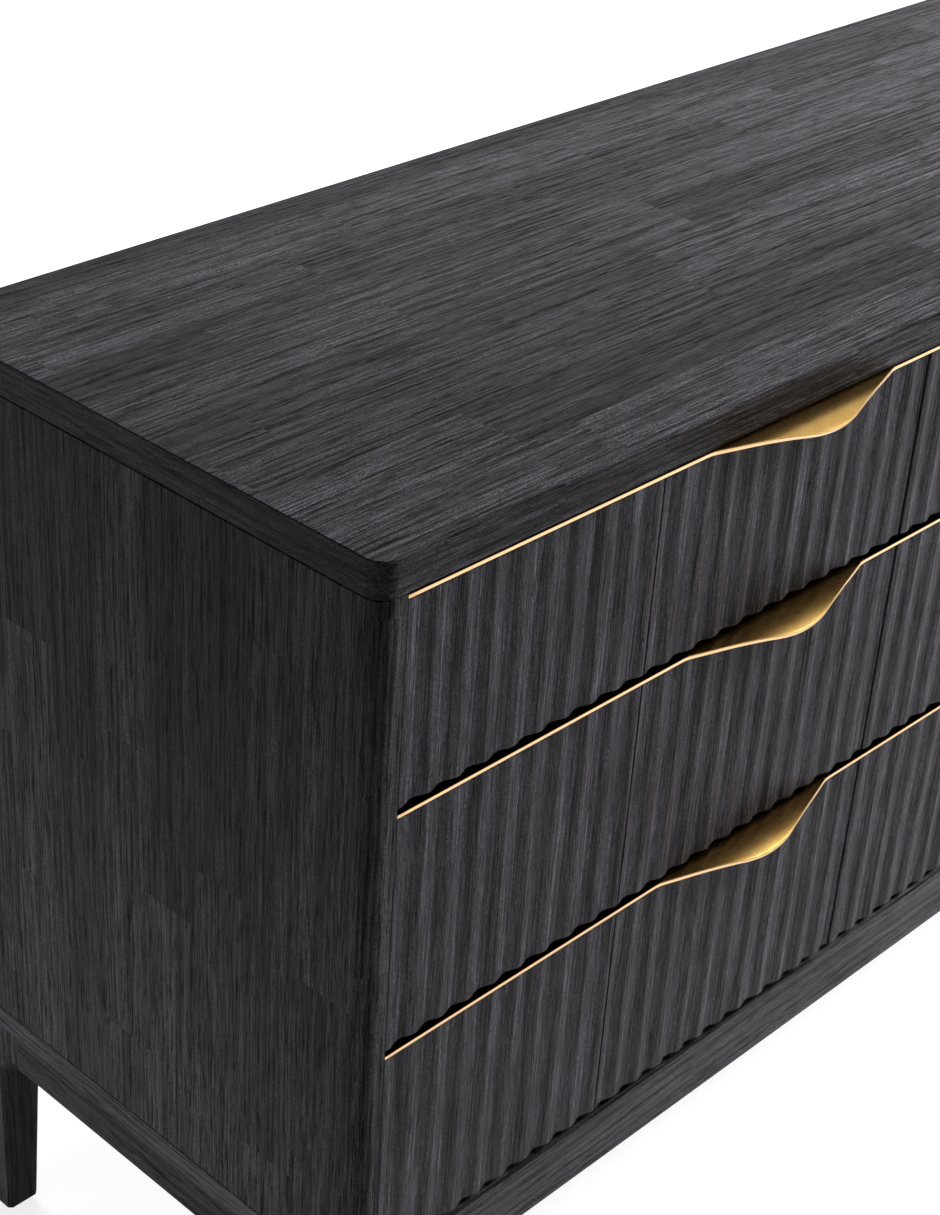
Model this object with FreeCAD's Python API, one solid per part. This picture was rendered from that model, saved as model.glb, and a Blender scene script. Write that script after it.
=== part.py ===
import FreeCAD, Part
import math
import os
from FreeCAD import Vector

# Sideboard buffet with two banks of three drawers, in millimetres.
# +Z is up, the drawer fronts face -Y, and +X runs from the left end to the right end.
# The origin lies on the floor, under the centre of the whole object's plan box.

# ---------------------------------------------------------------- driving dimensions

# Carcass
carcass_depth = 450.0
side_thickness = 22.0
partition_thickness = 22.0
top_thickness = 25.6
floor_thickness = 20.0
corner_radius = 15.0          # plan rounding of the two front corners
rear_corner_radius = 4.0
arris = 0.8                   # eased edges of the boards
back_thickness = 8.0
back_rabbet_width = 12.0      # how far the back panel is let into the boards around it
housing_depth = 6.0           # the partition's tongue in the top and the floor
housing_setback = 16.0        # where that tongue starts, behind the front edge
fit_clearance = 0.2           # between a board and the groove that holds it

# Base
apron_height = 33.0
apron_thickness = 22.0
leg_clearance = 173.3         # from the ground to the underside of the aprons
leg_width = 40.0              # across the front of the object, at the top of the leg
leg_width_foot = 29.5
leg_depth = 51.0
knee_depth = 73.0             # the block at the top of the leg, let into the side apron
knee_radius = 22.0
leg_arris = 3.0               # eased inner edges of the legs and knees
foot_arris = 2.0              # eased edge around the underside of each foot
glide_thickness = 3.0
glide_radius = 12.0
bolt_radius = 4.0
bolt_head_radius = 6.5        # to the corners of the hexagon
bolt_head_height = 5.5
bolt_recess = 8.0             # from the apron's underside up to the seat of the bolt's head
bolt_grip = 12.0              # length of the bolt inside the floor panel
bolt_clearance = 0.4

# Drawer fronts: three fluted boards side by side under a brass strip
bank_names = ("left", "right")
tier_names = ("top", "middle", "lower")
front_heights = {"top": 150.7, "middle": 188.0, "lower": 189.0}
outer_board_width = 229.5
middle_board_width = 293.0
board_seam = 1.5
flute_pitch = 25.2
flute_depth = 3.0
flute_facets = 8              # flats that make up one wave of a fluted face
first_crest = 2.1             # from the left edge of a drawer front to a crest
board_thickness = 20.0
front_side_gap = 0.5
top_gap = 0.8                 # between the top panel and the uppermost brass strips
drawer_gap = 4.4              # between a drawer front and the strip below it
floor_gap = 5.8               # between the lowest drawer fronts and the floor panel

# Brass pulls: a flat strip with a bent lip in a wave outline
brass_thickness = 3.0
strip_depth = 16.0
lip_width = 201.0
lip_reach = 27.0
lip_flank_angle = 17.4
lip_root_radius = 30.0
lip_flat = 8.0                # from the drawer front to the start of the bend
lip_bend_radius = 30.0
lip_bend_angle = 14.0

# Drawer boxes
box_length = 366.0
box_wall = 12.0
box_foot = 15.0               # from the front's lower edge up to the box sides
box_headroom = 25.0           # from the box sides up to the front's upper edge
bottom_thickness = 6.0
bottom_groove_depth = 6.0
bottom_groove_height = 10.0   # from the box sides' lower edge up to the groove

# Telescopic slides: three nested channels each side of a drawer
slide_length = 350.0
slide_height = 45.0
slide_width = 12.7
slide_sheet = 1.2
slide_clearance = 0.3
slide_setback = 22.0          # from the front of the carcass to the slides
slide_rise = 30.0             # from the box sides' lower edge up to the slides' middle

# ---------------------------------------------------------------- derived sizes

front_width = 2 * outer_board_width + middle_board_width + 2 * board_seam
bank_width = front_width + 2 * front_side_gap
total_width = len(bank_names) * (bank_width + partition_thickness) - partition_thickness + 2 * side_thickness
x_left = -total_width / 2
x_right = total_width / 2
y_front = (lip_reach - carcass_depth) / 2
y_back = y_front + carcass_depth
z_apron = leg_clearance
z_floor_under = z_apron + apron_height
z_floor = z_floor_under + floor_thickness
fronts_height = sum(front_heights.values()) + (len(tier_names) - 1) * drawer_gap
opening_height = top_gap + fronts_height + floor_gap
z_ceiling = z_floor + opening_height
z_top = z_ceiling + top_thickness
y_back_panel = y_back - back_thickness
box_width = bank_width - 2 * slide_width
y_box = y_front + board_thickness
cabinet = {}
drawers = {}


# ---------------------------------------------------------------- helpers

def block(x0, x1, y0, y1, z0, z1):
    """A box between two corners."""
    return Part.makeBox(x1 - x0, y1 - y0, z1 - z0, Vector(x0, y0, z0))


def rounded_wire(corners, place):
    """A closed wire through (a, b, radius) corners, each rounded by a tangent arc.

    place turns the two flat coordinates into a point in space.
    """
    edges = []
    joints = []
    count = len(corners)
    for index in range(count):
        before = Vector(*corners[index - 1][:2], 0)
        here = Vector(*corners[index][:2], 0)
        after = Vector(*corners[(index + 1) % count][:2], 0)
        radius = corners[index][2]
        if radius == 0:
            joints.append((here, here, here))
            continue
        to_before = (before - here).normalize()
        to_after = (after - here).normalize()
        half_angle = to_before.getAngle(to_after) / 2
        setback = radius / math.tan(half_angle)
        bisector = (to_before + to_after).normalize()
        summit = here + bisector * (radius / math.sin(half_angle) - radius)
        joints.append((here + to_before * setback, summit, here + to_after * setback))
    for index in range(count):
        start, summit, end = joints[index]
        following = joints[(index + 1) % count][0]
        if start != end:
            edges.append(Part.Arc(place(start), place(summit), place(end)).toShape())
        if (following - end).Length > 1e-6:
            edges.append(Part.LineSegment(place(end), place(following)).toShape())
    return Part.Wire(edges)


def plan_prism(corners, z0, z1):
    """An upright prism over a rounded outline in plan."""
    wire = rounded_wire(corners, lambda point: Vector(point.x, point.y, z0))
    return Part.Face(wire).extrude(Vector(0, 0, z1 - z0))


def side_prism(corners, x0, x1):
    """A prism along X over a rounded outline in the Y-Z plane."""
    wire = rounded_wire(corners, lambda point: Vector(x0, point.x, point.y))
    return Part.Face(wire).extrude(Vector(x1 - x0, 0, 0))


def mirrored(shape):
    """The same shape on the other side of the centre line."""
    return shape.mirror(Vector(0, 0, 0), Vector(1, 0, 0))


def ease(shape, size, wanted):
    """Plane a narrow flat along the edges for which wanted(edge) is true."""
    edges = [edge for edge in shape.Edges if wanted(edge)]
    return shape.makeChamfer(size, edges)


def round_over(shape, radius, wanted):
    """Round the edges for which wanted(edge) is true."""
    edges = [edge for edge in shape.Edges if wanted(edge)]
    return shape.makeFillet(radius, edges)


def at_height(edge, z):
    """Whether an edge lies flat at a height."""
    box = edge.BoundBox
    return abs(box.ZMin - z) < 0.01 and abs(box.ZMax - z) < 0.01


def on_outline(edge):
    """Whether an edge's middle lies on the carcass's front or end faces or their round corners."""
    middle = edge.valueAt((edge.FirstParameter + edge.LastParameter) / 2)
    inset_x = x_right - abs(middle.x)
    inset_y = middle.y - y_front
    on_corner = inset_x < corner_radius and inset_y < corner_radius
    return inset_x < 0.01 or inset_y < 0.01 or on_corner


# ---------------------------------------------------------------- carcass

def carcass_plan(z0, z1):
    """The full plan of the carcass, with its round front corners."""
    return plan_prism([
        (x_left, y_front, corner_radius),
        (x_right, y_front, corner_radius),
        (x_right, y_back, rear_corner_radius),
        (x_left, y_back, rear_corner_radius),
    ], z0, z1)


def back_recess(z0, z1):
    """The rabbet for the back panel, cut to a clearance around it."""
    inset = side_thickness - back_rabbet_width
    return block(x_left + inset, x_right - inset, y_back_panel, y_back + 1, z0, z1)


def partition_places():
    """The left face of each upright board between two banks."""
    pitch = bank_width + partition_thickness
    return [x_left + side_thickness + bank_width + pitch * index for index in range(len(bank_names) - 1)]


def housing(z0, z1):
    """The stopped grooves that take the partitions' tongues."""
    grooves = [
        block(x - fit_clearance / 2, x + partition_thickness + fit_clearance / 2,
              y_front + housing_setback - fit_clearance, y_back_panel + 1, z0, z1)
        for x in partition_places()
    ]
    return Part.Compound(grooves)


def make_top():
    board = carcass_plan(z_ceiling, z_top)
    board = ease(board, arris, lambda edge: at_height(edge, z_top))
    board = ease(board, arris, lambda edge: at_height(edge, z_ceiling) and on_outline(edge))
    board = board.cut(back_recess(z_ceiling - 1, z_ceiling + back_rabbet_width))
    return board.cut(housing(z_ceiling - 1, z_ceiling + housing_depth))


def make_side():
    """The left end board, its front edge rounded in plan."""
    board = carcass_plan(z_floor, z_ceiling)
    board = ease(board, arris, lambda edge: at_height(edge, z_ceiling) and on_outline(edge))
    board = ease(board, arris, lambda edge: at_height(edge, z_floor) and on_outline(edge))
    board = board.common(block(x_left, x_left + side_thickness, y_front, y_back, z_floor, z_ceiling))
    return board.cut(back_recess(z_floor - 1, z_ceiling + 1))


def make_floor():
    board = carcass_plan(z_floor_under, z_floor)
    board = ease(board, arris, lambda edge: at_height(edge, z_floor) and on_outline(edge))
    board = board.cut(back_recess(z_floor - back_rabbet_width, z_floor + 1))
    board = board.cut(housing(z_floor - housing_depth, z_floor + 1))
    for x, y in leg_bolt_places():
        hole = Part.makeCylinder(bolt_radius + bolt_clearance, bolt_grip + 1, Vector(x, y, z_floor_under))
        board = board.cut(hole)
    return board


def make_partitions():
    """The upright boards between the banks, with a tongue above and below."""
    boards = []
    for x in partition_places():
        board = block(x, x + partition_thickness, y_front, y_back_panel, z_floor, z_ceiling)
        tongue = block(x, x + partition_thickness, y_front + housing_setback, y_back_panel,
                       z_floor - housing_depth + fit_clearance, z_ceiling + housing_depth - fit_clearance)
        boards.append(board.fuse(tongue).removeSplitter())
    return boards


def make_back():
    inset = side_thickness - back_rabbet_width + fit_clearance
    drop = back_rabbet_width - fit_clearance
    return block(x_left + inset, x_right - inset, y_back_panel, y_back, z_floor - drop, z_ceiling + drop)


# ---------------------------------------------------------------- base

def leg_bolt_places():
    """One bolt up through each knee block, in the part that stands clear of the leg."""
    x = x_right - leg_width / 2
    inset = (leg_depth + knee_depth) / 2
    return [(sign * x, y) for sign in (-1, 1) for y in (y_front + inset, y_back - inset)]


def make_leg(outer_radius, outer_y, inward):
    """A left leg: a post with a knee block, standing at outer_y and reaching inward along Y."""
    z_foot = glide_thickness
    leg = side_prism([
        (outer_y, z_foot, 0),
        (outer_y + inward * leg_depth, z_foot, 0),
        (outer_y + inward * leg_depth, z_apron, knee_radius),
        (outer_y + inward * knee_depth, z_apron, 0),
        (outer_y + inward * knee_depth, z_floor_under, 0),
        (outer_y, z_floor_under, 0),
    ], x_left, x_left + leg_width)
    spare = 1.0
    low_y, high_y = sorted((outer_y - inward * spare, outer_y + inward * (knee_depth + spare)))
    taper = Part.makePolygon([
        Vector(x_left + leg_width, low_y, z_apron),
        Vector(x_left + leg_width_foot, low_y, z_foot),
        Vector(x_left + leg_width + spare, low_y, z_foot),
        Vector(x_left + leg_width + spare, low_y, z_apron),
        Vector(x_left + leg_width, low_y, z_apron),
    ])
    leg = leg.cut(Part.Face(taper).extrude(Vector(0, high_y - low_y, 0)))
    leg = round_over(leg, outer_radius, lambda edge: is_post_edge(edge, x_left, outer_y))
    leg = ease(leg, leg_arris, lambda edge: is_free_post_edge(edge, outer_y, inward))
    leg = ease(leg, foot_arris, lambda edge: at_height(edge, z_foot))
    head = Part.makeCylinder(bolt_head_radius + bolt_clearance, knee_radius + bolt_recess,
                             Vector(0, 0, z_apron - knee_radius))
    shank = Part.makeCylinder(bolt_radius + bolt_clearance, apron_height, Vector(0, 0, z_apron))
    bore = head.fuse(shank)
    bore.translate(Vector(x_left + leg_width / 2, outer_y + inward * (leg_depth + knee_depth) / 2, 0))
    return leg.cut(bore)


def is_post_edge(edge, x, y):
    """Whether an edge is the upright one at a corner of the leg's plan."""
    box = edge.BoundBox
    at_corner = abs(box.XMin - x) < 0.01 and abs(box.XMax - x) < 0.01 and abs(box.YMin - y) < 0.01
    return at_corner and abs(box.YMax - y) < 0.01


def is_free_post_edge(edge, outer_y, inward):
    """Whether an edge is one of the post's upright edges below the knee, but not the outer corner."""
    box = edge.BoundBox
    upright = box.ZLength > leg_clearance / 2
    below_knee = box.ZMin < glide_thickness + 1.0
    inner_y = outer_y + inward * leg_depth
    on_inner_face = abs(box.YMin - inner_y) < 0.01 and abs(box.YMax - inner_y) < 0.01
    return upright and below_knee and on_inner_face


def make_glide(x, y):
    return Part.makeCylinder(glide_radius, glide_thickness, Vector(x, y, 0))


def make_bolt(x, y):
    """A hexagon bolt, its head sunk in the knee block."""
    z_seat = z_apron + bolt_recess
    corners = []
    for corner in range(7):
        turn = math.pi / 3 * corner
        across = Vector(math.cos(turn), math.sin(turn), 0) * bolt_head_radius
        corners.append(Vector(x, y, z_seat - bolt_head_height) + across)
    head = Part.Face(Part.makePolygon(corners)).extrude(Vector(0, 0, bolt_head_height))
    shank = Part.makeCylinder(bolt_radius, z_floor_under + bolt_grip - z_seat, Vector(x, y, z_seat))
    return head.fuse(shank)


def make_base():
    """The four aprons between the knee blocks, the legs, their glides and bolts."""
    front_leg = make_leg(corner_radius, y_front, 1)
    rear_leg = make_leg(rear_corner_radius, y_back, -1)
    cabinet["front_left_leg"] = [front_leg]
    cabinet["front_right_leg"] = [mirrored(front_leg)]
    cabinet["rear_left_leg"] = [rear_leg]
    cabinet["rear_right_leg"] = [mirrored(rear_leg)]
    side = block(x_left, x_left + apron_thickness, y_front + knee_depth, y_back - knee_depth,
                 z_apron, z_floor_under)
    side = ease(side, arris, lambda edge: at_height(edge, z_apron) and on_outline(edge))
    cabinet["left_apron"] = [side]
    cabinet["right_apron"] = [mirrored(side)]
    long_left = x_left + leg_width
    long_right = x_right - leg_width
    front = block(long_left, long_right, y_front, y_front + apron_thickness, z_apron, z_floor_under)
    front = ease(front, arris, lambda edge: at_height(edge, z_apron) and on_outline(edge))
    cabinet["front_apron"] = [front]
    cabinet["rear_apron"] = [block(long_left, long_right, y_back - apron_thickness, y_back,
                                   z_apron, z_floor_under)]
    foot_x = x_right - leg_width_foot / 2
    foot_y = (y_front + leg_depth / 2, y_back - leg_depth / 2)
    cabinet["foot_glides"] = [make_glide(sign * foot_x, y) for sign in (-1, 1) for y in foot_y]
    cabinet["leg_bolts"] = [make_bolt(x, y) for x, y in leg_bolt_places()]


# ---------------------------------------------------------------- drawer fronts and pulls

def make_fluted_board(x0, x1, x_crest, z0, z1):
    """One upright board of a drawer front, its face a cosine wave run in flute_facets flats per flute.

    The wave has a crest at x_crest and is cut off by the board's edges, where a sliver of a flat
    joins its neighbour.
    """
    def depth(x):
        turn = 2 * math.pi * (x - x_crest) / flute_pitch
        return flute_depth / 2 * (1 - math.cos(turn))

    facet = flute_pitch / flute_facets
    first = math.ceil((x0 - x_crest) / facet + 1 / 4)
    last = math.floor((x1 - x_crest) / facet - 1 / 4)
    inner = [x_crest + step * facet for step in range(first, last + 1)]
    outline = [Vector(x, y_front + depth(x), z0) for x in [x0] + inner + [x1]]
    outline.append(Vector(x1, y_front + board_thickness, z0))
    outline.append(Vector(x0, y_front + board_thickness, z0))
    outline.append(outline[0])
    return Part.Face(Part.makePolygon(outline)).extrude(Vector(0, 0, z1 - z0))


def make_front(x0, z0, height):
    """The three boards of a drawer front, under the brass strip. One wave runs on over all three."""
    boards = []
    x = x0
    for width in (outer_board_width, middle_board_width, outer_board_width):
        board = make_fluted_board(x, x + width, x0 + first_crest, z0, z0 + height - brass_thickness)
        boards.append(board)
        x += width + board_seam
    return boards


def lip_section(z):
    """The closed section of the bent brass sheet in the Y-Z plane, from the strip's back to the tip."""
    angle = math.radians(lip_bend_angle)
    inner = lip_bend_radius - brass_thickness
    y_bend = y_front - lip_flat
    z_centre = z - lip_bend_radius

    def on_arc(radius, turn):
        return Vector(0, y_bend - radius * math.sin(turn), z_centre + radius * math.cos(turn))

    upper_end = on_arc(lip_bend_radius, angle)
    lower_end = on_arc(inner, angle)
    run = lip_reach
    slope = Vector(0, -math.cos(angle), -math.sin(angle)) * run
    y_rear = y_front + strip_depth
    under = z - brass_thickness
    edges = [
        Part.LineSegment(Vector(0, y_rear, z), Vector(0, y_bend, z)).toShape(),
        Part.Arc(Vector(0, y_bend, z), on_arc(lip_bend_radius, angle / 2), upper_end).toShape(),
        Part.LineSegment(upper_end, upper_end + slope).toShape(),
        Part.LineSegment(upper_end + slope, lower_end + slope).toShape(),
        Part.LineSegment(lower_end + slope, lower_end).toShape(),
        Part.Arc(lower_end, on_arc(inner, angle / 2), Vector(0, y_bend, under)).toShape(),
        Part.LineSegment(Vector(0, y_bend, under), Vector(0, y_rear, under)).toShape(),
        Part.LineSegment(Vector(0, y_rear, under), Vector(0, y_rear, z)).toShape(),
    ]
    return Part.Wire(edges)


def make_pull(x0, z):
    """The brass strip on a drawer front's upper edge, with its wave-shaped lip in the middle."""
    x1 = x0 + front_width
    middle = (x0 + x1) / 2
    sheet = Part.Face(lip_section(z)).extrude(Vector(front_width, 0, 0))
    sheet.translate(Vector(x0, 0, 0))
    flank = math.radians(lip_flank_angle)
    peak = lip_width / 2 * math.tan(flank)
    tip_radius = (peak - lip_reach) / (1 / math.cos(flank) - 1)
    outline = plan_prism([
        (x0, y_front, 0),
        (middle - lip_width / 2, y_front, lip_root_radius),
        (middle, y_front - peak, tip_radius),
        (middle + lip_width / 2, y_front, lip_root_radius),
        (x1, y_front, 0),
        (x1, y_front + strip_depth, 0),
        (x0, y_front + strip_depth, 0),
    ], z - lip_width, z + 1)
    return sheet.common(outline)


# ---------------------------------------------------------------- drawer boxes and slides

def make_box(x0, z0, height):
    """The parts of a drawer box: two sides, the ends between them and the bottom in its grooves."""
    x1 = x0 + box_width
    y0 = y_box
    y1 = y_box + box_length
    z1 = z0 + height
    inner_left = x0 + box_wall
    inner_right = x1 - box_wall
    z_groove = z0 + bottom_groove_height
    reach = bottom_groove_depth
    groove = block(inner_left - reach, inner_right + reach, y0 + box_wall - reach, y1 + 1,
                   z_groove, z_groove + bottom_thickness + fit_clearance)
    left = block(x0, inner_left, y0, y1, z0, z1).cut(groove)
    right = block(inner_right, x1, y0, y1, z0, z1).cut(groove)
    front = block(inner_left, inner_right, y0, y0 + box_wall, z0, z1).cut(groove)
    back = block(inner_left, inner_right, y1 - box_wall, y1, z_groove + bottom_thickness + fit_clearance, z1)
    tongue = reach - fit_clearance
    bottom = block(inner_left - tongue, inner_right + tongue, y0 + box_wall - tongue, y1,
                   z_groove, z_groove + bottom_thickness)
    return {"sides": [left, right], "ends": [front, back], "bottom": [bottom]}


def channel(x_web, x_open, y0, z_middle, height):
    """A sheet channel along Y, its web at x_web and its flanges reaching to x_open."""
    toward = 1 if x_open > x_web else -1
    outer = block(min(x_web, x_open), max(x_web, x_open), y0, y0 + slide_length,
                  z_middle - height / 2, z_middle + height / 2)
    inner_web = x_web + toward * slide_sheet
    inner_end = x_open + toward
    hollow = block(min(inner_web, inner_end), max(inner_web, inner_end), y0 - 1, y0 + slide_length + 1,
                   z_middle - height / 2 + slide_sheet, z_middle + height / 2 - slide_sheet)
    return outer.cut(hollow)


def make_slide(x_wall, toward, z_middle):
    """The three members of one slide, from the cabinet wall at x_wall to the drawer side."""
    y0 = y_front + slide_setback
    nest = 2 * (slide_sheet + slide_clearance)
    web_gap = slide_sheet + slide_clearance
    x_drawer = x_wall + toward * slide_width
    outer = channel(x_wall, x_drawer - toward * 2 * web_gap, y0, z_middle, slide_height)
    middle = channel(x_wall + toward * web_gap, x_drawer - toward * web_gap, y0, z_middle,
                     slide_height - nest)
    inner = channel(x_drawer, x_wall + toward * 2 * web_gap, y0, z_middle, slide_height - 2 * nest)
    return outer, middle, inner


def make_drawers():
    """Every drawer, with its slides."""
    cabinet["slide_cabinet_members"] = []
    for bank, bank_name in enumerate(bank_names):
        x_bank = x_left + side_thickness + bank * (bank_width + partition_thickness)
        z_upper = z_ceiling - top_gap
        for tier in tier_names:
            height = front_heights[tier]
            z_lower = z_upper - height
            z_box = z_lower + box_foot
            name = bank_name + "_" + tier + "_drawer"
            drawer = {}
            drawer["front"] = make_front(x_bank + front_side_gap, z_lower, height)
            drawer["pull"] = [make_pull(x_bank + front_side_gap, z_upper)]
            drawer.update(make_box(x_bank + slide_width, z_box, height - box_foot - box_headroom))
            drawer["slide_drawer_members"] = []
            drawer["slide_middle_members"] = []
            for x_wall, toward in ((x_bank, 1), (x_bank + bank_width, -1)):
                outer, middle, inner = make_slide(x_wall, toward, z_box + slide_rise)
                cabinet["slide_cabinet_members"].append(outer)
                drawer["slide_middle_members"].append(middle)
                drawer["slide_drawer_members"].append(inner)
            drawers[name] = drawer
            z_upper = z_lower - drawer_gap


# ---------------------------------------------------------------- write every node

cabinet["top_panel"] = [make_top()]
side_board = make_side()
cabinet["left_side_panel"] = [side_board]
cabinet["right_side_panel"] = [mirrored(side_board)]
cabinet["floor_panel"] = [make_floor()]
cabinet["centre_partition"] = make_partitions()
cabinet["back_panel"] = [make_back()]
make_base()
make_drawers()

nodes = dict(cabinet)
for drawer_name, drawer_parts in drawers.items():
    for part_name, solids in drawer_parts.items():
        nodes[drawer_name + "_" + part_name] = solids

os.makedirs("parts", exist_ok=True)
for node_name, solids in nodes.items():
    shape = solids[0] if len(solids) == 1 else Part.Compound(solids)
    shape.exportStep("parts/" + node_name + ".step")
print(len(nodes), "nodes, width", total_width, "depth", carcass_depth + lip_reach, "height", z_top)
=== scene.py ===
import math

import bpy
from mathutils import Matrix, Vector


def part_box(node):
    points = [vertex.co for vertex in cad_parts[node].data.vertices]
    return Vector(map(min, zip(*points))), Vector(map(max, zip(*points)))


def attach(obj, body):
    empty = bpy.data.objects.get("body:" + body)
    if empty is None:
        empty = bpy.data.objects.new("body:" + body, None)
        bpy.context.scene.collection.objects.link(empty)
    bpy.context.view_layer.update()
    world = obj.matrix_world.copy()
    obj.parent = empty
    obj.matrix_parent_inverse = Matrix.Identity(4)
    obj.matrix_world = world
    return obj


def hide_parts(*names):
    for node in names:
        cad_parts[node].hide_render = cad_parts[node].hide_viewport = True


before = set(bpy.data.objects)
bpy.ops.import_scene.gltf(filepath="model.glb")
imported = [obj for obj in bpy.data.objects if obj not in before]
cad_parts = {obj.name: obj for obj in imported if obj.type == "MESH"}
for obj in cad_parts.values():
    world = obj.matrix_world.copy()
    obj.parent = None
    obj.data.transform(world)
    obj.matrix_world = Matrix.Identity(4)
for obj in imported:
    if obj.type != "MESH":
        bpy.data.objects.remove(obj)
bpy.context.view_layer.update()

# Everything is in metres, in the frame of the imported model: +Z up, drawer fronts facing -Y.
MM = 0.001
BANKS = ("left", "right")
TIERS = ("top", "middle", "lower")
DRAWERS = [bank + "_" + tier + "_drawer" for bank in BANKS for tier in TIERS]


# ---------------------------------------------------------------- shader helpers

class Nodes:
    """Adds nodes to a tree. An input is a socket to link or a constant value."""

    MIX_SOCKETS = {"VECTOR": (4, 5, 1), "RGBA": (6, 7, 2)}      # first, second and result

    def __init__(self, tree):
        self.tree = tree

    def feed(self, socket, value):
        if isinstance(value, bpy.types.NodeSocket):
            self.tree.links.new(value, socket)
        else:
            socket.default_value = value

    def add(self, kind, inputs=(), **settings):
        """A node with its settings made and its inputs fed, by their names or numbers."""
        node = self.tree.nodes.new("ShaderNode" + kind)
        for key, value in settings.items():
            setattr(node, key, value)
        for key, value in dict(inputs).items():
            self.feed(node.inputs[key], value)
        return node

    def maths(self, operation, first, second=0.0, third=0.0):
        inputs = {0: first, 1: second, 2: third}
        return self.add("Math", inputs, operation=operation).outputs[0]

    def product(self, first, second):
        return self.maths("MULTIPLY", first, second)

    def between(self, factor, low, high):
        """low where factor is 0, high where it is 1, and in a straight line from there."""
        return self.maths("MULTIPLY_ADD", factor, high - low, low)

    def remap(self, value, low, high, to_low=0.0, to_high=1.0):
        """value from low..high to to_low..to_high, smoothly and clamped."""
        inputs = {0: value, 1: low, 2: high, 3: to_low, 4: to_high}
        return self.add("MapRange", inputs, interpolation_type="SMOOTHSTEP").outputs[0]

    def mix(self, factor, first, second, kind="RGBA"):
        at_first, at_second, at_result = self.MIX_SOCKETS[kind]
        inputs = {0: factor, at_first: first, at_second: second}
        return self.add("Mix", inputs, data_type=kind).outputs[at_result]

    def vector(self, x, y, z):
        return self.add("CombineXYZ", {0: x, 1: y, 2: z}).outputs[0]

    def split(self, vector):
        return self.add("SeparateXYZ", {0: vector}).outputs

    def scaled(self, vector, factors):
        return self.add("VectorMath", {0: vector, 1: factors}, operation="MULTIPLY").outputs[0]

    def added(self, first, second):
        return self.add("VectorMath", {0: first, 1: second}, operation="ADD").outputs[0]

    def coordinates(self, kind):
        """Object is the place on the piece in metres, Normal the way its face looks."""
        return self.add("TexCoord").outputs[kind]

    def faces(self, axis, least):
        """1 where a face looks along the axis, either way, by at least that much."""
        facing = self.split(self.coordinates("Normal"))[axis]
        return self.maths("GREATER_THAN", self.maths("ABSOLUTE", facing), least)

    def noise(self, vector, rates, detail=2.0, roughness=0.5):
        """Noise that varies so many times in a metre along each of the vector's axes."""
        inputs = {"Vector": self.scaled(vector, rates), "Scale": 1.0, "Detail": detail,
                  "Roughness": roughness}
        return self.add("TexNoise", inputs).outputs[0]

    def grain(self, space, along, across, detail=2.0, roughness=0.5):
        """Noise drawn out along the first axis, the grain's."""
        return self.noise(space, (along, across, across), detail, roughness)

    def wavered(self, space, along, across, width):
        """The space moved sideways by a slow noise, within a strip of that width."""
        sideways = self.between(self.grain(space, along, across), -width / 2, width / 2)
        return self.added(space, self.vector(0.0, sideways, sideways))

    def bump(self, height, strength, distance):
        inputs = {"Strength": strength, "Distance": distance, "Height": height}
        return self.add("Bump", inputs).outputs[0]

    def seen_background(self):
        """1 for the rays that show the background: camera, glossy and transmission rays."""
        path = self.add("LightPath").outputs
        seen = path["Is Camera Ray"]
        for other in ("Is Glossy Ray", "Is Transmission Ray"):
            seen = self.maths("MAXIMUM", seen, path[other])
        return seen


class Shader(Nodes):
    """One material's nodes, around its Principled shader."""

    def __init__(self, name):
        self.material = bpy.data.materials.new(name)
        self.material.use_nodes = True
        super().__init__(self.material.node_tree)
        self.surface = self.tree.nodes["Principled BSDF"]

    def set(self, **inputs):
        """Constants and links on the Principled shader, with _ for a space in the name."""
        for key, value in inputs.items():
            self.feed(self.surface.inputs[key.replace("_", " ")], value)


# ---------------------------------------------------------------- materials

ACROSS = {"X": "YZ", "Y": "XZ", "Z": "YX"}      # for each grain: across and through the staves
ROW_SHIFT = 13.0                # by how many staves a row of them is moved at most
ROW_CUTS = (0.7, 1.5)           # how often a row is cut into staves, against the usual length
STAVE_SHIFT = (0.7, 0.3, 0.3)   # by how many metres a stave's figure is moved at most
STAVE_TONES = (0.7, 1.3)        # how light single staves are, against the others
STAIN = 0.036                   # the black wood's linear level
RIB_HEIGHT = 0.28 * MM
PORE_DEPTH = 0.7                # against the ribs' height


def grey(level):
    return (level, level, level, 1.0)


def stain(level, tint):
    """A linear near-black; tint moves it from a plain grey towards violet."""
    return (level * (1 + 0.1 * tint), level * (1 - 0.2 * tint), level * (1 + tint))


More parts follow.
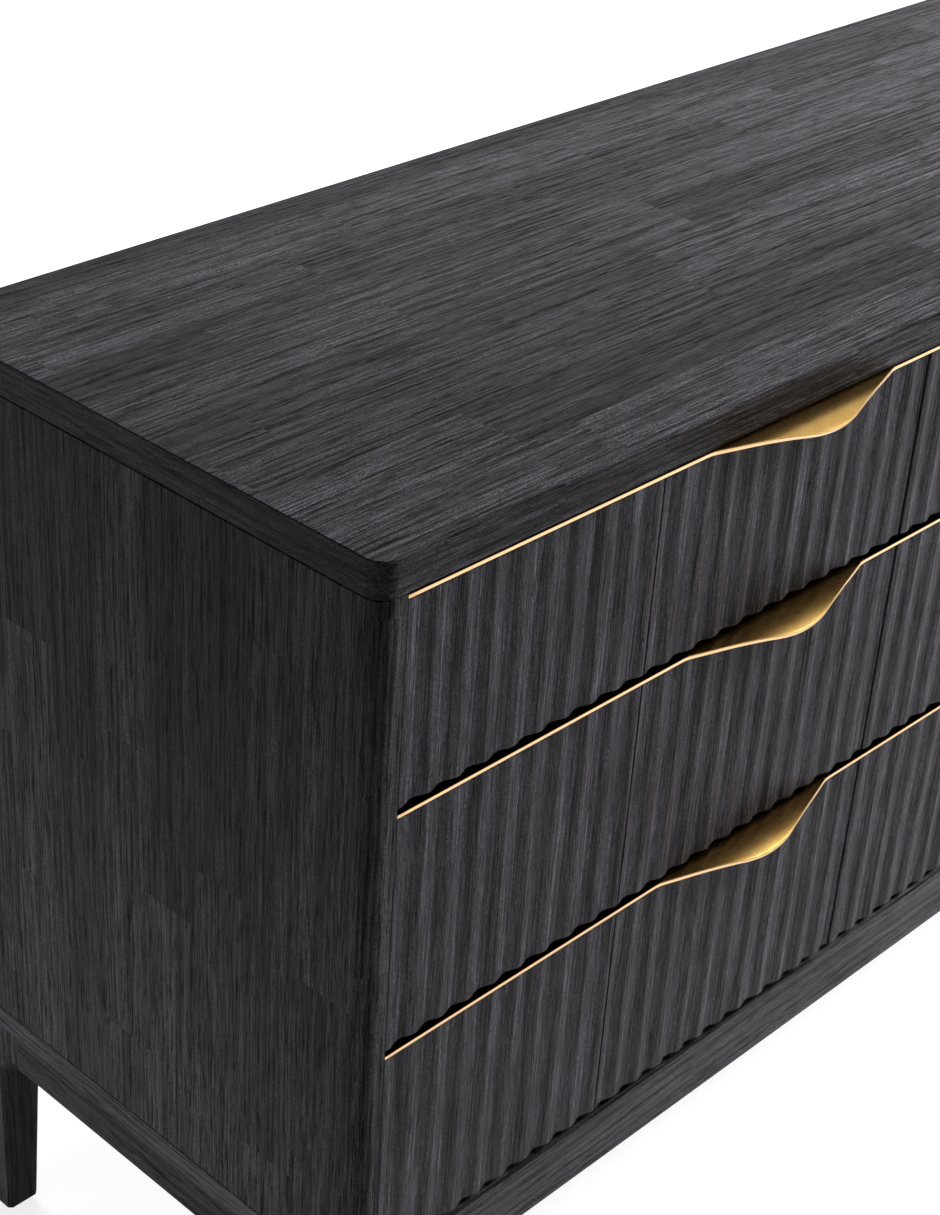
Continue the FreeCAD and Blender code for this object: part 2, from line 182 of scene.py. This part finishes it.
def grain_space(shader, along, staves=None, end_along=None):
    """Coordinates that run along the grain first, broken up into finger-jointed staves.

    staves is their width and usual length. On the faces at the two ends of the grain it runs
    along end_along instead, as on a lipped board. Returns the (along, across, through) vector,
    shifted per stave, and a random value per stave, or None without staves.
    """
    place = shader.split(shader.coordinates("Object"))
    axes = [place[axis] for axis in along + ACROSS[along]]
    if end_along:
        turned = shader.vector(place[end_along], place[along], place["Z"])
        on_end = shader.faces(along, 0.75)
        axes = shader.split(shader.mix(on_end, shader.vector(*axes), turned, "VECTOR"))
    space = shader.vector(axes[0], axes[1], axes[2])
    if not staves:
        return space, None
    width, length = staves
    row = shader.maths("FLOOR", shader.maths("DIVIDE", axes[1], width))
    row_random = shader.add("TexWhiteNoise", {"W": row}, noise_dimensions="1D").outputs["Value"]
    run = shader.maths("DIVIDE", axes[0], length)
    run = shader.maths("MULTIPLY_ADD", row_random, ROW_SHIFT, run)
    cuts = shader.between(row_random, *ROW_CUTS)
    column = shader.maths("FLOOR", shader.product(run, cuts))
    stave = shader.vector(row, column, 0.0)
    random = shader.add("TexWhiteNoise", {"Vector": stave}, noise_dimensions="3D").outputs
    shift = shader.scaled(random["Color"], STAVE_SHIFT)
    return shader.added(space, shift), random["Value"]


def wood(name, along, shade, *, contrast, roughness, level, staves=None, tint=0.0, relief=1.0,
         end_along=None, rim_stain_and_painted_shade=1.0, fine=1.0, broad=0.2):
    """Black-stained open-grain wood, brushed so that the grain stands in fine ribs.

    shade is its level against STAIN and level the shader's specular level. contrast is how
    strong the ribs and pores are, broad how strong the wide bands are, relief how deep the ribs
    are, and fine how close they stand, against the side panels'. rim_stain_and_painted_shade is
    how dark the upright faces around a lying board are painted, against its flat ones: darker end
    grain on its ends, painted shade on its long edges.
    """
    shader = Shader(name)
    space, tone = grain_space(shader, along, staves, end_along)
    space = shader.wavered(space, along=4.0, across=22.0, width=4 * MM)
    bands = shader.grain(space, along=2.5, across=90.0, detail=2.0, roughness=0.6)
    streaks = shader.grain(space, along=6.0, across=300.0 * fine, detail=5.0, roughness=0.85)
    pores = shader.grain(space, along=36.0, across=750.0 * fine, detail=3.0, roughness=0.7)
    specks = shader.grain(space, along=800.0, across=1700.0, detail=1.0)

    # The noise lies about 0.5; the closer its limits are, the harder a figure's edges
    rib = shader.remap(streaks, 0.40, 0.60)
    pore = shader.remap(pores, 0.52, 0.60)
    speck = shader.remap(specks, 0.40, 0.60)

    # How light the wood is, with each layer's change where it is 0 and where it is 1
    light = shader.remap(bands, 0.35, 0.65, 1 - broad, 1 + broad)
    for layer, at_0, at_1 in ((rib, -0.9, 0.9), (pore, 0.3, -0.9), (speck, -0.6, 0.6)):
        factor = shader.between(layer, 1 + at_0 * contrast, 1 + at_1 * contrast)
        light = shader.product(light, factor)
    if tone is not None:
        light = shader.product(light, shader.remap(tone, 0.0, 1.0, *STAVE_TONES))
    # Upright faces of a lying board painted darker: darker end grain on its ends, painted shade on
    # its long edges
    if rim_stain_and_painted_shade != 1.0:
        light = shader.product(light, shader.between(shader.faces("Z", 0.7), rim_stain_and_painted_shade, 1.0))
    inputs = {0: stain(STAIN * shade, tint), "Scale": light}
    colour = shader.add("VectorMath", inputs, operation="SCALE").outputs[0]

    height = shader.maths("MULTIPLY_ADD", pore, -PORE_DEPTH, rib)
    shader.set(Base_Color=colour, Specular_IOR_Level=level,
               Roughness=shader.remap(height, -0.6, 0.3, roughness + 0.3, roughness),
               Normal=shader.bump(height, strength=0.8 * relief, distance=RIB_HEIGHT))
    return shader.material


def pale_wood(name, along, light, dark):
    """Clear-lacquered wood for the inside of the drawers."""
    shader = Shader(name)
    space, _ = grain_space(shader, along)
    space = shader.wavered(space, along=2.0, across=14.0, width=30 * MM)
    rings = shader.grain(space, along=1.5, across=90.0, detail=3.0, roughness=0.6)
    pores = shader.grain(space, along=40.0, across=1200.0)
    figure = shader.maths("MULTIPLY_ADD", pores, 0.35, shader.product(rings, 0.65))
    shader.set(Base_Color=shader.mix(shader.remap(figure, 0.35, 0.65), dark, light),
               Roughness=shader.remap(pores, 0.3, 0.7, 0.48, 0.38),
               Normal=shader.bump(pores, strength=0.4, distance=0.1 * MM))
    return shader.material


def brass_material():
    """Satin brass with faint lines and clouding, and a paler colour on its upright faces as a
    painted highlight.
    """
    dark = (0.80, 0.48, 0.13, 1.0)
    bright = (0.87, 0.54, 0.17, 1.0)
    painted_highlight = (0.80, 0.52, 0.28, 1.0)
    shader = Shader("satin brass")
    place = shader.coordinates("Object")
    lines = shader.grain(place, along=90.0, across=2500.0)
    cloud = shader.remap(shader.noise(place, (60.0, 60.0, 60.0), detail=3.0), 0.3, 0.7)
    face = shader.mix(cloud, dark, bright)
    # The upright faces, such as the strips' front edges, get the paler colour: a painted highlight
    facing_up = shader.remap(shader.split(shader.coordinates("Normal"))["Z"], 0.4, 0.8)
    shader.set(Base_Color=shader.mix(facing_up, painted_highlight, face), Metallic=1.0,
               Roughness=shader.remap(lines, 0.3, 0.7, 0.27, 0.33),
               Normal=shader.bump(lines, strength=0.06, distance=0.05 * MM))
    return shader.material


def steel_material():
    shader = Shader("zinc-plated steel")
    spangle = shader.noise(shader.coordinates("Object"), (400.0, 60.0, 400.0))
    colour = shader.mix(spangle, (0.52, 0.54, 0.57, 1.0), (0.70, 0.71, 0.73, 1.0))
    shader.set(Base_Color=colour, Metallic=1.0,
               Roughness=shader.remap(spangle, 0.3, 0.7, 0.28, 0.42))
    return shader.material


def felt_material():
    shader = Shader("pressed felt")
    fuzz = shader.noise(shader.coordinates("Object"), (1800.0, 1800.0, 1800.0))
    colour = shader.mix(fuzz, (0.015, 0.015, 0.016, 1.0), (0.05, 0.05, 0.052, 1.0))
    shader.set(Base_Color=colour, Roughness=0.95, Specular_IOR_Level=0.2,
               Normal=shader.bump(fuzz, strength=0.6, distance=0.3 * MM))
    return shader.material


PALE = {"light": (0.60, 0.43, 0.27, 1.0), "dark": (0.43, 0.28, 0.16, 1.0)}
MATERIALS = {
    "top": wood("black wood along X", "X", 0.50, contrast=1.0, roughness=0.20, level=0.035,
                staves=(52 * MM, 340 * MM), tint=0.14, end_along="Y", rim_stain_and_painted_shade=0.9, fine=1.25),
    "panel": wood("black wood upright, staved", "Z", 0.80, contrast=0.75, roughness=0.35,
                  level=0.025, staves=(50 * MM, 300 * MM)),
    "flutes": wood("black wood upright", "Z", 0.82, contrast=0.9, roughness=0.24, level=0.08,
                   tint=0.20, fine=1.2, broad=0.1),
    "long": wood("black wood along X, plain", "X", 0.80, contrast=0.8, roughness=0.3,
                 level=0.05, tint=0.12, end_along="Y"),
    "deep": wood("black wood along Y", "Y", 0.50, contrast=0.6, roughness=0.35, level=0.03),
    "upright": wood("black wood along Z", "Z", 0.50, contrast=0.7, roughness=0.35, level=0.03),
    "back": wood("black plywood", "X", 0.60, contrast=0.5, roughness=0.5, level=0.1,
                 relief=0.4),
    "box_x": pale_wood("pale wood along X", "X", **PALE),
    "box_y": pale_wood("pale wood along Y", "Y", **PALE),
    "board": pale_wood("pale plywood", "X",
                       light=(0.66, 0.50, 0.33, 1.0), dark=(0.52, 0.37, 0.22, 1.0)),
    "brass": brass_material(),
    "steel": steel_material(),
    "felt": felt_material(),
}


def dress(obj, material):
    """Gives an object one material."""
    obj.data.materials.clear()
    obj.data.materials.append(MATERIALS[material])


# ---------------------------------------------------------------- pieces kept from the frame

ARRIS = 0.5 * MM
KEPT = {
    "top_panel": "top", "left_side_panel": "panel", "right_side_panel": "panel",
    "centre_partition": "panel", "floor_panel": "long", "back_panel": "back",
    "front_apron": "long", "rear_apron": "long", "left_apron": "deep", "right_apron": "deep",
    "front_left_leg": "upright", "front_right_leg": "upright",
    "rear_left_leg": "upright", "rear_right_leg": "upright",
    "foot_glides": "felt", "leg_bolts": "steel", "slide_cabinet_members": "steel",
}
KEPT_IN_DRAWERS = {
    "_sides": "box_y", "_ends": "box_x", "_bottom": "board",
    "_slide_drawer_members": "steel", "_slide_middle_members": "steel",
}
for drawer in DRAWERS:
    for ending, finish in KEPT_IN_DRAWERS.items():
        KEPT[drawer + ending] = finish


def round_arrises(obj, segments, least_turn):
    """Rounds the edges that turn by least_turn degrees or more, and evens the shading.

    Returns the modifier that evens it.
    """
    for polygon in obj.data.polygons:
        polygon.use_smooth = True
    bevel = obj.modifiers.new("round arrises", "BEVEL")
    bevel.width = ARRIS
    bevel.segments = segments
    bevel.limit_method = "ANGLE"
    bevel.angle_limit = math.radians(least_turn)
    return obj.modifiers.new("even shading", "WEIGHTED_NORMAL")


for node_name, finish in KEPT.items():
    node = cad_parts[node_name]
    dress(node, finish)
    if node_name.endswith(("_leg", "_apron", "_panel")):
        merge = node.modifiers.new("merge flat faces", "DECIMATE")
        merge.decimate_type = "DISSOLVE"
        merge.angle_limit = math.radians(0.5)
        round_arrises(node, segments=3, least_turn=25).keep_sharp = True


# ---------------------------------------------------------------- pieces modelled here

def new_piece(name, vertices, faces, finish, body, replaced):
    """A mesh that rides on a body and stands for a CAD node."""
    mesh = bpy.data.meshes.new(name)
    mesh.from_pydata(vertices, [], faces)
    mesh.validate()
    obj = bpy.data.objects.new(name, mesh)
    bpy.context.scene.collection.objects.link(obj)
    dress(obj, finish)
    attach(obj, body)
    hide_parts(replaced)
    return obj


# Fluted drawer fronts: three boards with one wave running on over them
BOARDS = (229.5 * MM, 293.0 * MM, 229.5 * MM)
SEAM = 1.5 * MM
FLUTE_PITCH = 25.2 * MM
FLUTE_DEPTH = 3.0 * MM
FIRST_CREST = 2.1 * MM
FLUTE_STEP = 1.25 * MM


def fluted_board(x0, x1, crest, y0, y1, z0, z1):
    """Vertices and faces of one closed board whose front is a cosine wave with a crest at crest."""
    steps = round((x1 - x0) / FLUTE_STEP)
    front = []
    for step in range(steps + 1):
        x = x0 + (x1 - x0) * step / steps
        turn = 2 * math.pi * (x - crest) / FLUTE_PITCH
        front.append((x, y0 + FLUTE_DEPTH / 2 * (1 - math.cos(turn))))
    ring = front + [(x1, y1), (x0, y1)]
    count = len(ring)
    vertices = [(x, y, z) for z in (z0, z1) for x, y in ring]
    faces = [(i, (i + 1) % count, count + (i + 1) % count, count + i) for i in range(count)]
    faces.append(tuple(reversed(range(count))))
    faces.append(tuple(range(count, 2 * count)))
    return vertices, faces


def fluted_front(drawer):
    low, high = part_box(drawer + "_front")
    vertices = []
    faces = []
    x = low.x
    for width in BOARDS:
        board, board_faces = fluted_board(x, x + width, low.x + FIRST_CREST,
                                          low.y, high.y, low.z, high.z)
        faces += [tuple(len(vertices) + index for index in face) for face in board_faces]
        vertices += board
        x += width + SEAM
    obj = new_piece(drawer + "_fluted_front", vertices, faces, "flutes",
                    drawer, drawer + "_front")
    round_arrises(obj, segments=2, least_turn=40)


# Brass pulls: a strip of sheet on the front's upper edge, with a lip bent down in its middle
SHEET = 3.0 * MM
RIM = 0.7 * MM                      # the radius round the sheet's edge
LIP_WIDTH = 201 * MM
LIP_REACH = 27 * MM
LIP_FLANK = math.radians(17.4)      # between the lip's straight sides and the front
LIP_ROOT = 30 * MM                  # the radius from those sides into the strip
LIP_FLAT = 7 * MM                   # how far the lip stays level before it bends
LIP_BEND = 46 * MM                  # the bend's radius
LIP_ANGLE = math.radians(27)        # how far it bends down
LIP_COLUMNS = 160
STRIP_COLUMNS = 24
SHEET_STEPS = 14
RIM_STEPS = 5


def lip_outline(x):
    """How far the sheet stands out of the front, x away from the lip's middle."""
    x = abs(x)
    half = LIP_WIDTH / 2
    slope = math.tan(LIP_FLANK)
    peak = half * slope
    tip_radius = (peak - LIP_REACH) / (1 / math.cos(LIP_FLANK) - 1)
    root_run = LIP_ROOT * math.tan(LIP_FLANK / 2)
    if x < tip_radius * math.sin(LIP_FLANK):
        return LIP_REACH - tip_radius + math.sqrt(tip_radius ** 2 - x ** 2)
    if x < half - root_run * math.cos(LIP_FLANK):
        return (half - x) * slope
    if x < half + root_run:
        return LIP_ROOT - math.sqrt(LIP_ROOT ** 2 - (half + root_run - x) ** 2)
    return 0.0


def bent(out, depth):
    """A point of the bent sheet, out in front in plan and depth under its upper face.

    Returns the distance out and the drop below the strip's upper face.
    """
    if out <= LIP_FLAT:
        return out, depth
    bend_end = LIP_FLAT + LIP_BEND * math.sin(LIP_ANGLE)
    if out < bend_end:
        turn = math.asin((out - LIP_FLAT) / LIP_BEND)
        drop = LIP_BEND * (1 - math.cos(turn))
    else:
        turn = LIP_ANGLE
        drop = LIP_BEND * (1 - math.cos(turn)) + (out - bend_end) * math.tan(turn)
    return out - depth * math.sin(turn), drop + depth * math.cos(turn)


def pull_section(reach, rear):
    """The closed section of one column: the upper face from its back, the rim, the lower face."""
    front = reach - RIM
    turns = [math.pi / 2 * step / RIM_STEPS for step in range(1, RIM_STEPS)]
    points = [(-rear, 0.0)]
    points += [bent(front * step / SHEET_STEPS, 0.0) for step in range(SHEET_STEPS + 1)]
    points += [bent(front + RIM * math.sin(turn), RIM * (1 - math.cos(turn))) for turn in turns]
    points += [bent(reach, RIM), bent(reach, SHEET - RIM)]
    points += [bent(front + RIM * math.cos(turn), SHEET - RIM + RIM * math.sin(turn))
               for turn in turns]
    points += [bent(front * (1 - step / SHEET_STEPS), SHEET) for step in range(SHEET_STEPS + 1)]
    points.append((-rear, SHEET))
    return points


def pull(drawer):
    low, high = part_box(drawer + "_pull")
    y_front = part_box(drawer + "_front")[0].y
    rear = high.y - y_front
    middle = (low.x + high.x) / 2
    lip_half = LIP_WIDTH / 2 + LIP_ROOT
    columns = []
    for step in range(STRIP_COLUMNS):
        columns.append(low.x + (middle - lip_half - low.x) * step / STRIP_COLUMNS)
    for step in range(LIP_COLUMNS + 1):
        columns.append(middle - lip_half + 2 * lip_half * step / LIP_COLUMNS)
    for step in range(1, STRIP_COLUMNS + 1):
        columns.append(middle + lip_half + (high.x - middle - lip_half) * step / STRIP_COLUMNS)
    vertices = []
    for x in columns:
        for out, drop in pull_section(lip_outline(x - middle), rear):
            vertices.append((x, y_front - out, high.z - drop))
    count = len(vertices) // len(columns)
    faces = []
    for column in range(len(columns) - 1):
        for index in range(count):
            a = column * count + index
            b = column * count + (index + 1) % count
            faces.append((a, a + count, b + count, b))
    last = (len(columns) - 1) * count
    faces.append(tuple(range(count)))
    faces.append(tuple(reversed(range(last, last + count))))
    obj = new_piece(drawer + "_brass_pull", vertices, faces, "brass",
                    drawer, drawer + "_pull")
    for polygon in obj.data.polygons:
        polygon.use_smooth = len(polygon.vertices) == 4      # all but the two ends


for drawer in DRAWERS:
    fluted_front(drawer)
for drawer in DRAWERS:
    pull(drawer)


# ---------------------------------------------------------------- studio

def make_camera():
    """Three-quarter view from above the left front corner."""
    place = (-1.6147, -1.0152, 1.4544)
    right = Vector((0.71029, -0.70273, 0.04082))
    down = Vector((-0.34357, -0.39672, -0.85122))
    ahead = Vector((0.61437, 0.59058, -0.52322))
    data = bpy.data.cameras.new("camera")
    data.sensor_width = 36.0
    data.lens = 70.32
    data.shift_x = 0.0642
    data.shift_y = 0.0279
    data.clip_start = 0.05
    data.clip_end = 100.0
    camera = bpy.data.objects.new("camera", data)
    turn = Matrix((right, -down, -ahead)).transposed()
    camera.matrix_world = Matrix.Translation(place) @ turn.to_4x4()
    bpy.context.scene.collection.objects.link(camera)
    bpy.context.scene.camera = camera


def area_light(name, place, target, size, power, in_gloss):
    """A rectangular lamp turned to target; in_gloss says if glossy faces mirror it."""
    data = bpy.data.lights.new(name, "AREA")
    data.shape = "RECTANGLE"
    data.size, data.size_y = size
    data.energy = power
    light = bpy.data.objects.new(name, data)
    light.location = place
    towards = Vector(target) - Vector(place)
    light.rotation_euler = towards.to_track_quat("-Z", "Y").to_euler()
    light.visible_glossy = in_gloss
    bpy.context.scene.collection.objects.link(light)


def make_world(daylight, low, high, zenith):
    """A pale sky, white up to the height low and zenith above high.

    The rays that don't show the background get daylight times that.
    """
    world = bpy.data.worlds.new("studio")
    world.use_nodes = True
    bpy.context.scene.world = world
    nodes = Nodes(world.node_tree)
    background = world.node_tree.nodes["Background"]
    height = nodes.split(nodes.coordinates("Generated"))["Z"]
    nodes.feed(background.inputs["Color"], nodes.remap(height, low, high, 1.0, zenith))
    strength = nodes.between(nodes.seen_background(), daylight, 1.0)
    nodes.feed(background.inputs["Strength"], strength)


def make_floor(glow, near, far, reach):
    """A wide pale floor that keeps the object's shadow faint.

    glow is what it adds to its own look within near of the middle; from far on it adds all.
    """
    mesh = bpy.data.meshes.new("floor")
    corners = [(-reach, -reach, 0), (reach, -reach, 0), (reach, reach, 0), (-reach, reach, 0)]
    mesh.from_pydata(corners, [], [(0, 1, 2, 3)])
    floor = bpy.data.objects.new("floor", mesh)
    bpy.context.scene.collection.objects.link(floor)
    shader = Shader("pale floor")
    inputs = {0: shader.coordinates("Object")}
    distance = shader.add("VectorMath", inputs, operation="LENGTH").outputs["Value"]
    strength = shader.remap(distance, near, far, glow, 1.0)
    shader.set(Base_Color=grey(0.4), Roughness=0.9, Specular_IOR_Level=0.0,
               Emission_Color=grey(1.0),
               Emission_Strength=shader.product(shader.seen_background(), strength))
    mesh.materials.append(shader.material)


LAMPS = (       # name, place, target, size, power in watts, mirrored in gloss
    ("key", (1.7, -1.2, 2.2), (0.0, 0.0, 0.5), (1.0, 1.0), 150, False),
    ("top", (1.0, 0.2, 1.9), (0.4, 0.0, 0.8), (0.8, 0.8), 34, False),
    ("rear", (0.6, 3.2, 1.8), (0.0, 0.2, 0.4), (2.0, 1.2), 110, False),
    ("overhead", (1.3, 0.3, 2.9), (-0.3, -0.1, 0.5), (2.6, 1.8), 10, True),
    ("spark", (1.32, -0.68, 2.2), (-0.4, -0.26, 0.45), (0.3, 0.3), 2.5, True),
    ("low", (-1.25, 0.1, 0.08), (-0.8, 0.0, 0.25), (0.5, 0.12), 1.5, True),
)

make_camera()
make_world(daylight=0.18, low=0.30, high=0.46, zenith=0.15)
make_floor(glow=0.80, near=0.9, far=2.6, reach=400.0)
for lamp in LAMPS:
    area_light(*lamp)
bpy.context.scene.view_settings.view_transform = "Standard"
